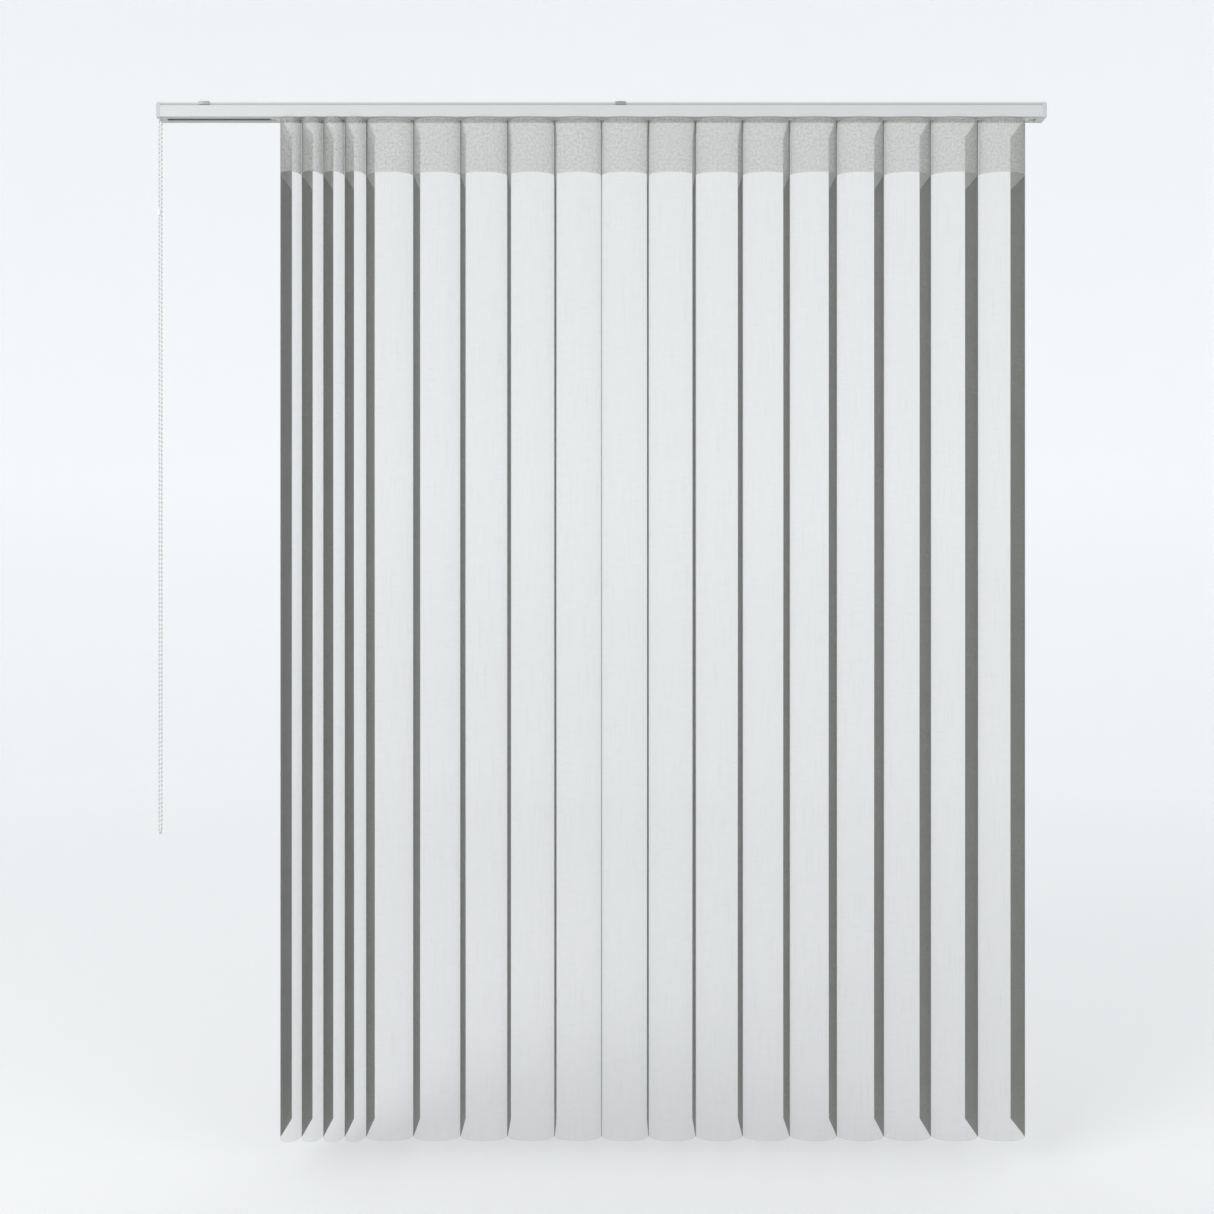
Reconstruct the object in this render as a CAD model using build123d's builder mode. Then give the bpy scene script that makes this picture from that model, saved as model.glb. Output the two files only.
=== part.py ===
"""Vertical blind: a headrail with carriers, turning vanes and one sheer curtain in front of them.

The frame is the blind's own: the origin lies on the headrail's top face at the middle of its
length and depth, +X runs along the rail away from the control end, -Y points into the room and
+Z is up. Lengths are millimetres.
"""

from build123d import *
from math import pi
import os

os.makedirs("parts", exist_ok=True)

# Driving dimensions
RAIL_LENGTH = 1487.0  # over both end caps
RAIL_DEPTH = 34.0
RAIL_HEIGHT = 25.0
RAIL_WALL = 1.5
RAIL_LIP = 1.6  # the two bottom lips that the carriers run on
SLOT_WIDTH = 13.0
CAP_WALL = 1.2  # an end cap's outer walls
CAP_WEB = 0.7  # the wall between an end cap's hollow and the rail
PLUG_LENGTH = 7.5  # how far an end cap reaches into the rail
VANES = 19
PACKED_GAPS = 4  # gaps at the control end where the vanes are drawn together
PACKED_PITCH = 36.0
CARRIER_GAP = 0.6  # between two carriers that are drawn together
VANE_WIDTH = 89.0
VANE_DROP = 1705.6
VANE_THICKNESS = 0.8
BAND_HEIGHT = 92.0  # stiff header band along the top of the fabric
BAND_THICKNESS = 1.2
FABRIC_GAP = 1.7  # from the rail's underside down to the fabric
WIDE_BULGE = 26.5  # how far a drawn-out sheer lobe stands in front of the vanes
PACKED_BULGE = 31.0
SHEER_THICKNESS = 0.4
CHAIN_DROP = 1224.5  # from the rail's top face to the bottom of the bead chain
BEAD_RADIUS = 2.0
BEAD_PITCH = 7.3
BEADS_A_TURN = 6  # or fewer, if the end cap has less room
BRACKET_XS = {"left": -663.5, "middle": 32.0}
BRACKET_WIDTH = 17.5
FIXING_HOLE = 4.5

# Places that follow from them
FLANGE_ROOM = 0.9  # beside the chain, for the sprocket's flange
CHAIN_ROOM = 0.2  # on the chain's other side
HOLLOW_TOP = 2.3  # from a cap's top down to its hollow, past the bevelled corner
CAP_THICKNESS = CAP_WALL + FLANGE_ROOM + 2 * BEAD_RADIUS + CHAIN_ROOM + CAP_WEB
PROFILE_LENGTH = RAIL_LENGTH - 2 * CAP_THICKNESS
RAIL_HALF = RAIL_LENGTH / 2
PROFILE_HALF = PROFILE_LENGTH / 2
FACE_Y = RAIL_DEPTH / 2
FLOOR_Z = -RAIL_HEIGHT + RAIL_LIP
HOUSING_HALF = (PACKED_PITCH - CARRIER_GAP) / 2
LAST_X = PROFILE_HALF - PLUG_LENGTH - HOUSING_HALF - CARRIER_GAP / 2
OPEN_PITCH = 2 * LAST_X / (VANES - 1)
FABRIC_TOP = -RAIL_HEIGHT - FABRIC_GAP
FABRIC_BOTTOM = FABRIC_TOP - VANE_DROP
VANE_FRONT_Y = 0.7
CHAIN_X = -RAIL_HALF + CAP_WALL + FLANGE_ROOM + BEAD_RADIUS
ROD_RADIUS = 2.0
STEM_RADIUS = 2.5
ROD_Y = -(STEM_RADIUS + ROD_RADIUS + 1.0)
TURN_ROOM = FACE_Y - CAP_WALL - 0.3 - BEAD_RADIUS + ROD_Y
CHAIN_RADIUS = min(BEADS_A_TURN, int(2 * pi * TURN_ROOM / BEAD_PITCH)) * BEAD_PITCH / (2 * pi)
ROD_Z = min(-RAIL_HEIGHT + 13.5, -HOLLOW_TOP - 0.2 - BEAD_RADIUS - CHAIN_RADIUS)
CORD_Y = 4.6
CORD_Z = -RAIL_HEIGHT + 6.5
CORD_RADIUS = 0.8
PLUG_BOTTOM = -RAIL_HEIGHT + 2.4
PLUG_TOP = -6.7
HOUSING_TOP = -RAIL_HEIGHT + 18.0
HOUSING_BOTTOM = -RAIL_HEIGHT + 2.5
HOUSING_Y = FACE_Y - 4.5
CHANNEL_Y = HOUSING_Y - 3.8
CHANNEL_Z = HOUSING_TOP - 6.6
STRIP_THICKNESS = 0.4
STRIP_OVERRUN = 5.0
LANE_STEP = 1.6
RUNNING_FIT = 0.06
SEAT_FIT = 0.02  # what sits still on a rod or a pin


def vane_xs():
    """Where the vanes hang, from the control end to the fixed one."""
    xs = [LAST_X]
    for gap in range(VANES - 1):
        pitch = OPEN_PITCH if gap < VANES - 1 - PACKED_GAPS else PACKED_PITCH
        xs.append(xs[-1] - pitch)
    return xs[::-1]


def save(part, name):
    """Label a finished piece and write it."""
    part.label = name
    export_step(part, f"parts/{name}.step")


def across(x):
    """The plane across the rail at x: its sketches are drawn in Y and Z."""
    return Plane.YZ.offset(x)


def lane_z(number):
    """The height of a carrier's spacer strip, one of three lanes."""
    return HOUSING_TOP - 1.5 - LANE_STEP * (number % 3)


# Headrail: an open-bottomed extrusion with a slot, and a bead along each top edge for the clips
BEAD_Y = FACE_Y - 0.6
GROOVE_Y = FACE_Y - 1.4
BEAD_DEPTH = 2.9
GROOVE_DEPTH = 4.6
SHOULDER = 1.0
EDGE_BREAK = 0.5
CORNER = 1.3
STEP_LOW = -GROOVE_DEPTH - SHOULDER - 0.8  # the inner wall's step behind the groove
STEP_HIGH = -GROOVE_DEPTH - 0.6
RIB_WIDTH = 0.8
RIB_TOP = FLOOR_Z + 0.6
SCORE_Y = (SLOT_WIDTH / 2 + FACE_Y) / 2
SCORE_HALF = 0.5
SCORE_DEPTH = 0.5
with BuildPart() as headrail:
    with BuildSketch(across(-PROFILE_HALF)):
        with BuildLine():
            Polyline(
                (0, 0),
                (BEAD_Y - EDGE_BREAK, 0),
                (BEAD_Y, -EDGE_BREAK),
                (BEAD_Y, -BEAD_DEPTH),
                (GROOVE_Y, -BEAD_DEPTH),
                (GROOVE_Y, -GROOVE_DEPTH),
                (FACE_Y, -GROOVE_DEPTH - SHOULDER),
                (FACE_Y, -RAIL_HEIGHT + CORNER),
            )
            CenterArc((FACE_Y - CORNER, -RAIL_HEIGHT + CORNER), CORNER, -90, 90)
            Polyline(
                (FACE_Y - CORNER, -RAIL_HEIGHT),
                (SCORE_Y + SCORE_HALF, -RAIL_HEIGHT),
                (SCORE_Y + SCORE_HALF, -RAIL_HEIGHT + SCORE_DEPTH),
                (SCORE_Y - SCORE_HALF, -RAIL_HEIGHT + SCORE_DEPTH),
                (SCORE_Y - SCORE_HALF, -RAIL_HEIGHT),
                (SLOT_WIDTH / 2, -RAIL_HEIGHT),
                (SLOT_WIDTH / 2, RIB_TOP),
                (SLOT_WIDTH / 2 + RIB_WIDTH, RIB_TOP),
                (SLOT_WIDTH / 2 + RIB_WIDTH, FLOOR_Z),
                (FACE_Y - RAIL_WALL, FLOOR_Z),
                (FACE_Y - RAIL_WALL, STEP_LOW),
                (GROOVE_Y - RAIL_WALL, STEP_HIGH),
                (GROOVE_Y - RAIL_WALL, -RAIL_WALL),
                (0, -RAIL_WALL),
            )
            mirror(about=Plane.YZ)
        make_face()
    extrude(amount=PROFILE_LENGTH)
save(headrail.part, "headrail")


# End caps
BEVEL_ACROSS = 2.0
BEVEL_DOWN = 3.5
PLUG_GAP = 0.3  # a side, between the plug and the rail
TONGUE_TOP = PLUG_BOTTOM + 0.5
TONGUE_BOTTOM = -RAIL_HEIGHT + 0.1


def end_cap(side):
    """A hollow end cap with a plug inside the rail; side is -1 at the control end and 1 at the other."""
    outer = side * RAIL_HALF
    inner = side * PROFILE_HALF
    with BuildPart() as cap:
        with BuildSketch(Plane.XZ.offset(-FACE_Y)):
            with BuildLine():
                Polyline(
                    (inner, 0),
                    (outer - side * BEVEL_ACROSS, 0),
                    (outer, -BEVEL_DOWN),
                    (outer, -RAIL_HEIGHT),
                    (inner, -RAIL_HEIGHT),
                    close=True,
                )
            make_face()
        extrude(amount=RAIL_DEPTH)
        with BuildSketch(across(outer - side * CAP_WALL)):
            with Locations((0, -RAIL_HEIGHT / 2 + (CAP_WALL - HOLLOW_TOP) / 2)):
                Rectangle(RAIL_DEPTH - 2 * CAP_WALL, RAIL_HEIGHT - CAP_WALL - HOLLOW_TOP)
        extrude(amount=-side * (CAP_THICKNESS - CAP_WALL - CAP_WEB), mode=Mode.SUBTRACT)
        with BuildSketch(across(inner)):
            with Locations((0, (PLUG_TOP + PLUG_BOTTOM) / 2)):
                Rectangle(RAIL_DEPTH - 2 * (RAIL_WALL + PLUG_GAP), PLUG_TOP - PLUG_BOTTOM)
            with Locations((0, (TONGUE_TOP + TONGUE_BOTTOM) / 2)):
                Rectangle(SLOT_WIDTH - 2 * PLUG_GAP, TONGUE_TOP - TONGUE_BOTTOM)
        extrude(amount=-side * PLUG_LENGTH)
    return cap.part


# Control end cap: the chain runs over a sprocket in its hollow and leaves through two holes
CHAIN_HOLE_ROOM = 0.5
with BuildPart() as control_end_cap:
    add(end_cap(-1))
    with BuildSketch(across(-PROFILE_HALF - CAP_WEB)):
        with Locations((ROD_Y, ROD_Z)):
            Circle(ROD_RADIUS + RUNNING_FIT)
    extrude(amount=PLUG_LENGTH + CAP_WEB, mode=Mode.SUBTRACT)
    with BuildSketch(Plane.XY.offset(-RAIL_HEIGHT)):
        with Locations((CHAIN_X, ROD_Y - CHAIN_RADIUS), (CHAIN_X, ROD_Y + CHAIN_RADIUS)):
            Circle(BEAD_RADIUS + CHAIN_HOLE_ROOM)
    extrude(amount=CAP_WALL, mode=Mode.SUBTRACT)
save(control_end_cap.part, "control_end_cap")

# Idler end cap: a pocket holds the pulley that the traverse cord turns back on
PULLEY_X = PROFILE_HALF - 1.3
PULLEY_RADIUS = CORD_Y + 1.0
PULLEY_HALF = 1.8
POCKET_ROOM = 0.5
PIN_RADIUS = 1.0
PIN_REACH = CORD_Z - PLUG_BOTTOM + PULLEY_HALF + 2.0  # how far above the plug's underside it ends
PIN_GAP = 0.2
ROD_POCKET = PLUG_LENGTH - 3.0
with BuildPart() as idler_end_cap:
    add(end_cap(1))
    with BuildSketch(across(PROFILE_HALF - PLUG_LENGTH)):
        with Locations((0, CORD_Z)):
            Rectangle(2 * (PULLEY_RADIUS + POCKET_ROOM), 2 * (PULLEY_HALF + POCKET_ROOM))
    extrude(amount=PLUG_LENGTH + CAP_THICKNESS - CAP_WALL, mode=Mode.SUBTRACT)
    with BuildSketch(across(PROFILE_HALF - PLUG_LENGTH)):
        with Locations((ROD_Y, ROD_Z)):
            Circle(ROD_RADIUS + RUNNING_FIT)
    extrude(amount=ROD_POCKET, mode=Mode.SUBTRACT)
    with BuildSketch(Plane.XY.offset(PLUG_BOTTOM)):
        with Locations((PULLEY_X, 0)):
            Circle(PIN_RADIUS + SEAT_FIT)
    extrude(amount=PIN_REACH + PIN_GAP, mode=Mode.SUBTRACT)
save(idler_end_cap.part, "idler_end_cap")


# Mounting brackets: spring clips whose toes hook under the rail's top beads
CLIP_THICKNESS = 1.2
CLIP_GAP = 0.2
CLIP_BEND = 0.6
ARM_IN = BEAD_Y + CLIP_GAP
ARM_OUT = ARM_IN + 0.9
TOE_TOP = -BEAD_DEPTH - CLIP_GAP
TOE_BOTTOM = TOE_TOP - 0.9
TOE_REACH = 0.6


def bracket(x):
    """A clip that is screwed up overhead through one hole and holds the rail by both edges."""
    with BuildPart() as clip:
        with BuildSketch(across(x - BRACKET_WIDTH / 2)):
            with BuildLine():
                Polyline(
                    (0, CLIP_THICKNESS),
                    (ARM_OUT - CLIP_BEND, CLIP_THICKNESS),
                    (ARM_OUT, CLIP_THICKNESS - CLIP_BEND),
                    (ARM_OUT, TOE_BOTTOM),
                    (ARM_IN - TOE_REACH, TOE_BOTTOM),
                    (ARM_IN - TOE_REACH, TOE_TOP),
                    (ARM_IN, TOE_TOP),
                    (ARM_IN, 0),
                    (0, 0),
                )
                mirror(about=Plane.YZ)
            make_face()
        extrude(amount=BRACKET_WIDTH)
        with Locations((x, 0, CLIP_THICKNESS)):
            Hole(FIXING_HOLE / 2)
    return clip.part


for place, bracket_x in BRACKET_XS.items():
    save(bracket(bracket_x), f"mounting_bracket_{place}")

# Tilt rod with three grooves, and the chain sprocket on its end
ROD_START = CHAIN_X - BEAD_RADIUS
ROD_END = PROFILE_HALF - PLUG_LENGTH + ROD_POCKET - 0.4
FLUTES = 3
FLUTE_WIDTH = 0.9
FLUTE_DEPTH = 0.5
SPROCKET_HALF = BEAD_RADIUS + 0.1
SPROCKET_RADIUS = CHAIN_RADIUS - BEAD_RADIUS - 0.3
FLANGE_RADIUS = CHAIN_RADIUS + 1.0
FLANGE_THICKNESS = 0.6
with BuildPart() as tilt_rod:
    with BuildSketch(across(ROD_START)):
        with Locations((ROD_Y, ROD_Z)):
            Circle(ROD_RADIUS)
            with PolarLocations(ROD_RADIUS, FLUTES):
                Rectangle(2 * FLUTE_DEPTH, FLUTE_WIDTH, mode=Mode.SUBTRACT)
    extrude(amount=ROD_END - ROD_START)
save(tilt_rod.part, "tilt_rod")

with BuildPart() as chain_sprocket:
    with BuildSketch(across(CHAIN_X - SPROCKET_HALF)):
        with Locations((ROD_Y, ROD_Z)):
            Circle(SPROCKET_RADIUS)
            Circle(ROD_RADIUS + SEAT_FIT, mode=Mode.SUBTRACT)
    extrude(amount=2 * SPROCKET_HALF)
    with BuildSketch(across(CHAIN_X - SPROCKET_HALF - FLANGE_THICKNESS)):
        with Locations((ROD_Y, ROD_Z)):
            Circle(FLANGE_RADIUS)
    extrude(amount=FLANGE_THICKNESS)
save(chain_sprocket.part, "chain_sprocket")

# Bead chain: an endless loop of two straight runs joined by half turns
CHAIN_LOW = -CHAIN_DROP + BEAD_RADIUS + CHAIN_RADIUS
with BuildPart() as bead_chain:
    with BuildSketch(Plane.XY.offset(CHAIN_LOW)):
        with Locations((CHAIN_X, ROD_Y - CHAIN_RADIUS), (CHAIN_X, ROD_Y + CHAIN_RADIUS)):
            Circle(BEAD_RADIUS)
    extrude(amount=ROD_Z - CHAIN_LOW)
    for turn_z, turn in ((ROD_Z, 180), (CHAIN_LOW, -180)):
        with BuildSketch(Plane.XY.offset(turn_z)):
            with Locations((CHAIN_X, ROD_Y + CHAIN_RADIUS)):
                Circle(BEAD_RADIUS)
        revolve(axis=Axis((CHAIN_X, ROD_Y, turn_z), (1, 0, 0)), revolution_arc=turn)
save(bead_chain.part, "bead_chain")
chain_length = 2 * (ROD_Z - CHAIN_LOW) + 2 * pi * CHAIN_RADIUS
chain_section = pi * BEAD_RADIUS**2
print("bead chain: radii", [round(CHAIN_RADIUS, 2)] * 2, "length", round(chain_length, 1))
print("bead chain: volume over section x length", bead_chain.part.volume / chain_section / chain_length)

CONNECTOR_Z = -183.1
CONNECTOR_HALF = 5.5
CONNECTOR_ROOM = 0.15  # round the chain
CONNECTOR_RADIUS = BEAD_RADIUS + 1.2
with BuildPart() as chain_connector:
    with BuildSketch(Plane.XY.offset(CONNECTOR_Z - CONNECTOR_HALF)):
        with Locations((CHAIN_X, ROD_Y - CHAIN_RADIUS)):
            Circle(CONNECTOR_RADIUS)
            Circle(BEAD_RADIUS + CONNECTOR_ROOM, mode=Mode.SUBTRACT)
    extrude(amount=2 * CONNECTOR_HALF)
save(chain_connector.part, "chain_connector")

# Traverse cord: it leaves the control unit, turns back on the idler pulley and returns
CORD_START = -PROFILE_HALF + PLUG_LENGTH
with BuildPart() as traverse_cord:
    with BuildSketch(across(CORD_START)):
        with Locations((-CORD_Y, CORD_Z), (CORD_Y, CORD_Z)):
            Circle(CORD_RADIUS)
    extrude(amount=PULLEY_X - CORD_START)
    with BuildSketch(across(PULLEY_X)):
        with Locations((CORD_Y, CORD_Z)):
            Circle(CORD_RADIUS)
    revolve(axis=Axis((PULLEY_X, 0, CORD_Z), (0, 0, 1)), revolution_arc=-180)
save(traverse_cord.part, "traverse_cord")

PULLEY_RIM = 0.6
PULLEY_GROOVE = CORD_Y - CORD_RADIUS - 0.2
PULLEY_FLAT = CORD_RADIUS + 0.2
with BuildPart() as idler_pulley:
    with BuildSketch(Plane.XZ):
        with BuildLine():
            Polyline(
                (PULLEY_X + PIN_RADIUS + RUNNING_FIT, CORD_Z - PULLEY_HALF),
                (PULLEY_X + PULLEY_RADIUS, CORD_Z - PULLEY_HALF),
                (PULLEY_X + PULLEY_RADIUS, CORD_Z - PULLEY_HALF + PULLEY_RIM),
                (PULLEY_X + PULLEY_GROOVE, CORD_Z - PULLEY_FLAT),
                (PULLEY_X + PULLEY_GROOVE, CORD_Z + PULLEY_FLAT),
                (PULLEY_X + PULLEY_RADIUS, CORD_Z + PULLEY_HALF - PULLEY_RIM),
                (PULLEY_X + PULLEY_RADIUS, CORD_Z + PULLEY_HALF),
                (PULLEY_X + PIN_RADIUS + RUNNING_FIT, CORD_Z + PULLEY_HALF),
                close=True,
            )
        make_face()
    revolve(axis=Axis((PULLEY_X, 0, 0), (0, 0, 1)))
save(idler_pulley.part, "idler_pulley")

with BuildPart() as idler_pin:
    with BuildSketch(Plane.XY.offset(PLUG_BOTTOM + PIN_GAP)):
        with Locations((PULLEY_X, 0)):
            Circle(PIN_RADIUS)
    extrude(amount=PIN_REACH - PIN_GAP)
save(idler_pin.part, "idler_pin")

# Sheer curtain: one cloth that bulges between the vanes and is sewn down at each of them
SEAM_Y = -0.4
SEAM_WIDTH = 1.4
LOBE_GAP = 0.6
with BuildPart() as sheer_curtain:
    with BuildSketch(Plane.XY.offset(FABRIC_BOTTOM)):
        for number, (left, right) in enumerate(zip(vane_xs(), vane_xs()[1:])):
            bulge = PACKED_BULGE if number < PACKED_GAPS else WIDE_BULGE
            half = (right - left - LOBE_GAP) / 2
            with Locations(((left + right) / 2, 0)):
                Ellipse(half, bulge)
                Ellipse(half - SHEER_THICKNESS, bulge - SHEER_THICKNESS, mode=Mode.SUBTRACT)
        with Locations((0, SEAM_Y)):
            Rectangle(
                2 * RAIL_LENGTH,
                2 * PACKED_BULGE,
                align=(Align.CENTER, Align.MIN),
                mode=Mode.SUBTRACT,
            )
        for x in vane_xs():
            with Locations((x, SEAM_Y)):
                Rectangle(SEAM_WIDTH, 2 * SHEER_THICKNESS, align=(Align.CENTER, Align.MAX))
    extrude(amount=VANE_DROP)
save(sheer_curtain.part, "sheer_curtain")


# Carriers
SKID_IN = SLOT_WIDTH / 2 + RIB_WIDTH + 0.7
SKID_OUT = HOUSING_Y - 0.2
SKID_BOTTOM = FLOOR_Z + 0.15
HOUSING_BEVEL = 3.0
PASS_ROOM = 0.4  # round the rod and the cords that run through
BOSS_LENGTH = 12.0
BOSS_CORNER = 2.0
BOSS_ROOM = 1.0  # a side, in the slot
BOSS_BOTTOM = -RAIL_HEIGHT + 0.2
STRIP_IN = CHANNEL_Y + 0.4
STRIP_WIDTH = 3.6
STRIP_ROOT = 3.0
STRIP_TAB = 1.5
STRIP_TAB_LENGTH = 3.5
HOOK_HEIGHT = 0.8
HOOK_LENGTH = 1.0
FINGER_START = -3.9
FINGER_LENGTH = 2.9
FINGER_WIDTH = 4.0
FINGER_THICKNESS = 0.55
FINGER_DROP = 0.9  # below the strip that passes over it


def carrier(x, number):
    """A carrier on the rail's lips; all but the first have a spacer strip towards the control end."""
    with BuildPart() as piece:
        with BuildSketch(across(x - HOUSING_HALF)):
            with BuildLine():
                Polyline(
                    (-HOUSING_Y, HOUSING_BOTTOM),
                    (HOUSING_Y, HOUSING_BOTTOM),
                    (HOUSING_Y, CHANNEL_Z),
                    (CHANNEL_Y, CHANNEL_Z),
                    (CHANNEL_Y, HOUSING_TOP),
                    (-HOUSING_Y + HOUSING_BEVEL, HOUSING_TOP),
                    (-HOUSING_Y, HOUSING_TOP - HOUSING_BEVEL),
                    close=True,
                )
            make_face()
            for side in (-1, 1):
                with Locations((side * (SKID_IN + SKID_OUT) / 2, HOUSING_BOTTOM)):
                    Rectangle(SKID_OUT - SKID_IN, 2 * (HOUSING_BOTTOM - SKID_BOTTOM))
            with Locations((ROD_Y, ROD_Z)):
                Circle(ROD_RADIUS + PASS_ROOM, mode=Mode.SUBTRACT)
            with Locations((-CORD_Y, CORD_Z), (CORD_Y, CORD_Z)):
                Circle(CORD_RADIUS + PASS_ROOM, mode=Mode.SUBTRACT)
        extrude(amount=2 * HOUSING_HALF)
        with BuildSketch(Plane.XY.offset(BOSS_BOTTOM)):
            with Locations((x, 0)):
                RectangleRounded(BOSS_LENGTH, SLOT_WIDTH - 2 * BOSS_ROOM, BOSS_CORNER)
        extrude(amount=HOUSING_BOTTOM + RAIL_HEIGHT)
        if number < VANES:
            catch_z = lane_z(number + 1)
            with BuildSketch(across(x + FINGER_START)):
                with Locations((CHANNEL_Y - 0.3, catch_z - FINGER_DROP)):
                    Rectangle(FINGER_WIDTH, FINGER_THICKNESS, align=(Align.MIN, Align.MIN))
            extrude(amount=FINGER_LENGTH)
        if number > 1:
            reach = OPEN_PITCH + STRIP_OVERRUN
            with BuildSketch(across(x - reach)):
                with Locations((STRIP_IN, lane_z(number))):
                    Rectangle(STRIP_WIDTH, STRIP_THICKNESS, align=(Align.MIN, Align.CENTER))
            extrude(amount=reach + STRIP_ROOT)
            with BuildSketch(across(x - reach)):
                with Locations((STRIP_IN, lane_z(number))):
                    Rectangle(STRIP_WIDTH, HOOK_HEIGHT, align=(Align.MIN, Align.MAX))
            extrude(amount=HOOK_LENGTH)
            with BuildSketch(across(x - 0.5)):
                with Locations((CHANNEL_Y - 0.5, lane_z(number))):
                    Rectangle(STRIP_TAB, STRIP_THICKNESS, align=(Align.MIN, Align.CENTER))
            extrude(amount=STRIP_TAB_LENGTH)
        with BuildSketch(Plane.XY.offset(-RAIL_HEIGHT)):
            with Locations((x, 0)):
                Circle(STEM_RADIUS + RUNNING_FIT)
        extrude(amount=RAIL_HEIGHT, mode=Mode.SUBTRACT)
    return piece.part


# Vanes and their hangers
HANGER_BAR_TOP = -RAIL_HEIGHT - 0.4
HANGER_BAR_BOTTOM = FABRIC_TOP + 0.3
HANGER_BAR_WIDTH = 2.8
HANGER_PLATE_HEIGHT = 18.0
HANGER_PLATE_THICKNESS = 0.8
HANGER_PLATE_START = 3.0
HANGER_PLATE_MARGIN = 4.0  # less than the vane's width
STEM_TOP = HOUSING_TOP + 0.1
STEM_HEAD_HEIGHT = 1.0
STEM_HEAD_RADIUS = STEM_RADIUS + 0.9


def vane(x):
    """A fabric vane with its stiff header band, and the hanger whose stem turns in the carrier."""
    with BuildPart() as piece:
        with BuildSketch(Plane.XY.offset(FABRIC_BOTTOM)):
            with Locations((x, VANE_FRONT_Y)):
                Rectangle(VANE_THICKNESS, VANE_WIDTH, align=(Align.CENTER, Align.MIN))
        extrude(amount=VANE_DROP)
        with BuildSketch(Plane.XY.offset(FABRIC_TOP - BAND_HEIGHT)):
            with Locations((x, VANE_FRONT_Y)):
                Rectangle(BAND_THICKNESS, VANE_WIDTH, align=(Align.CENTER, Align.MIN))
        extrude(amount=BAND_HEIGHT)
        with BuildSketch(Plane.XY.offset(FABRIC_TOP - HANGER_PLATE_HEIGHT)):
            with Locations((x + BAND_THICKNESS / 2, HANGER_PLATE_START)):
                Rectangle(
                    HANGER_PLATE_THICKNESS,
                    VANE_WIDTH - HANGER_PLATE_MARGIN,
                    align=(Align.MIN, Align.MIN),
                )
        extrude(amount=HANGER_BAR_TOP - FABRIC_TOP + HANGER_PLATE_HEIGHT)
        with BuildSketch(Plane.XY.offset(HANGER_BAR_BOTTOM)):
            with Locations((x, -STEM_RADIUS)):
                Rectangle(
                    HANGER_BAR_WIDTH,
                    STEM_RADIUS + VANE_WIDTH / 2,
                    align=(Align.CENTER, Align.MIN),
                )
            with Locations((x, 0)):
                Circle(STEM_RADIUS)
        extrude(amount=HANGER_BAR_TOP - HANGER_BAR_BOTTOM)
        with BuildSketch(Plane.XY.offset(HANGER_BAR_TOP)):
            with Locations((x, 0)):
                Circle(STEM_RADIUS)
        extrude(amount=STEM_TOP - HANGER_BAR_TOP)
        with BuildSketch(Plane.XY.offset(STEM_TOP)):
            with Locations((x, 0)):
                Circle(STEM_HEAD_RADIUS)
        extrude(amount=STEM_HEAD_HEIGHT)
    return piece.part


for number, x in enumerate(vane_xs(), start=1):
    save(carrier(x, number), f"carrier_{number:02d}")
    save(vane(x), f"vane_{number:02d}")
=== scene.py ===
"""Looks of a vertical blind: a sheer in soft lobes, turning vanes, a slim headrail and a bead chain."""

import logging
import math
import random
from collections.abc import Callable, Iterable, Iterator, Sequence
from contextlib import contextmanager
from dataclasses import dataclass, field
from enum import Enum
from typing import Any, Union

import bpy
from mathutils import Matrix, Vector


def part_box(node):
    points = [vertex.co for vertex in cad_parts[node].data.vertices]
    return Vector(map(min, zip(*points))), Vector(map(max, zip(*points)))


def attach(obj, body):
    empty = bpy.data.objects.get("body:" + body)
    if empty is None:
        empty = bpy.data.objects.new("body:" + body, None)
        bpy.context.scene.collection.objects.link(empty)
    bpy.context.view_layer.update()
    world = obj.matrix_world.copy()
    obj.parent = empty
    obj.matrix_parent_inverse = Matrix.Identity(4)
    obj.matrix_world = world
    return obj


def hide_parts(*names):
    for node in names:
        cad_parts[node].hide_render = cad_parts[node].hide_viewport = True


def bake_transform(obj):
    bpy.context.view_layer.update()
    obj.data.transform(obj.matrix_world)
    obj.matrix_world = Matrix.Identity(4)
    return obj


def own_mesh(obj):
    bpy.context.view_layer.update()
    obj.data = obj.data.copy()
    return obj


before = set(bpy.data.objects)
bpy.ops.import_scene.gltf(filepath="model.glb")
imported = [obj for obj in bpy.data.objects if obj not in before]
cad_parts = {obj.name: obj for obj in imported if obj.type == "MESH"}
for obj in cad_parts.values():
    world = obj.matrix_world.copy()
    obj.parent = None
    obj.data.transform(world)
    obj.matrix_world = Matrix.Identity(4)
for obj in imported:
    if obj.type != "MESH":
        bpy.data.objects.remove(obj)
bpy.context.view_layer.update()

log = logging.getLogger("blind")
Point = tuple[float, float, float]
Colour = tuple[float, float, float]
Scalar = Union["Wire", float]
MM = 0.001
FULL_TURN = 6.28  # radians, near enough for a phase
RAIL_BODY = "rail"
FAR_CORNER = (0.31, 0.43, 0.57)


# ---------------------------------------------------------------- shader bench


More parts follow.
